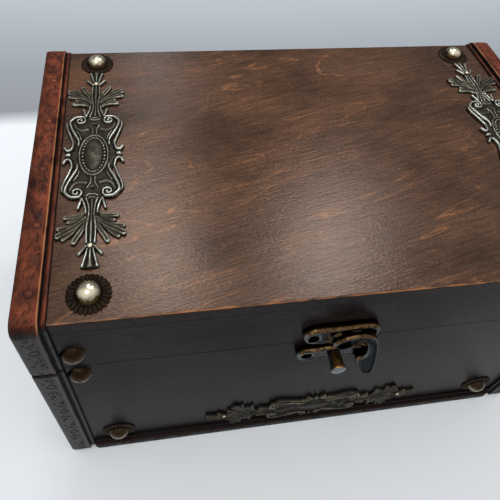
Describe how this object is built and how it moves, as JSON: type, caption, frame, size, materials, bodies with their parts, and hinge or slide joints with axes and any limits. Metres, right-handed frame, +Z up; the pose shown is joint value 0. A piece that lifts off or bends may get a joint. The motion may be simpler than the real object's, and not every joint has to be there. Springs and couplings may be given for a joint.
{
  "type": "hinged wooden chest",
  "caption": "Dark-stained wooden chest with a hinged lid, embossed end bands, stamped leafy mounts, petalled washers under domed nails and a swinging horn latch.",
  "frame": {"origin": "middle of the underside of the base, on the floor", "axes": "+X to the right seen from the latch side, +Y to the hinge side, +Z up"},
  "size_m": [0.261, 0.18, 0.1515],
  "materials": {
    "lid_wood": "dark stained, satin lacquer",
    "wall_wood": "dark stained, satin lacquer",
    "bottom_ply": "plain plywood",
    "band_leather": "embossed, worn at the ridges",
    "mount_bronze": "stamped, dark patina with worn ridges",
    "nail_brass": "polished, lacquered",
    "stud_brass": "antique",
    "latch_bronze": "antique",
    "hook_bronze": "antique",
    "rivet_iron": "blackened",
    "hinge_brass": "antique",
    "pin_steel": "plain",
    "screw_steel": "bronzed"
  },
  "bodies": {
    "base": {"base_front_panel": "wall_wood", "base_back_panel": "wall_wood", "base_left_end": "wall_wood", "base_right_end": "wall_wood", "base_bottom": "bottom_ply", "base_left_band": "band_leather", "base_right_band": "band_leather", "front_plinth": "band_leather", "back_plinth": "band_leather", "front_ornament": "mount_bronze", "front_ornament_nails": "nail_brass", "base_rosettes": "mount_bronze", "base_rosette_nails": "nail_brass", "base_studs": "stud_brass", "latch_post_plate": "latch_bronze", "latch_post": "latch_bronze", "latch_post_screws": "screw_steel", "hinge_left_base_leaf": "hinge_brass", "hinge_right_base_leaf": "hinge_brass", "hinge_left_pin": "pin_steel", "hinge_right_pin": "pin_steel", "hinge_base_screws": "screw_steel"},
    "lid": {"lid_top": "lid_wood", "lid_front_rail": "wall_wood", "lid_back_rail": "wall_wood", "lid_left_end": "wall_wood", "lid_right_end": "wall_wood", "lid_left_band": "band_leather", "lid_right_band": "band_leather", "lid_left_ornament": "mount_bronze", "lid_right_ornament": "mount_bronze", "lid_ornament_nails": "nail_brass", "lid_rosettes": "mount_bronze", "lid_rosette_nails": "nail_brass", "lid_studs": "stud_brass", "latch_hook_plate": "latch_bronze", "latch_hook_screws": "screw_steel", "latch_pivot_rivet": "rivet_iron", "hinge_left_lid_leaf": "hinge_brass", "hinge_right_lid_leaf": "hinge_brass", "hinge_lid_screws": "screw_steel"},
    "hook": {"latch_hook": "hook_bronze"}
  },
  "joints": [
    {"name": "lid_hinge", "type": "hinge", "parent": "base", "child": "lid", "pos_m": [0, 0.08395, 0.1092], "axis": [-1, 0, 0], "range_deg": [0, 105]},
    {"name": "hook_swing", "type": "hinge", "parent": "lid", "child": "hook", "pos_m": [-0.0034, -0.08835, 0.1181], "axis": [0, -1, 0], "range_deg": [-37, 90]}
  ]
}
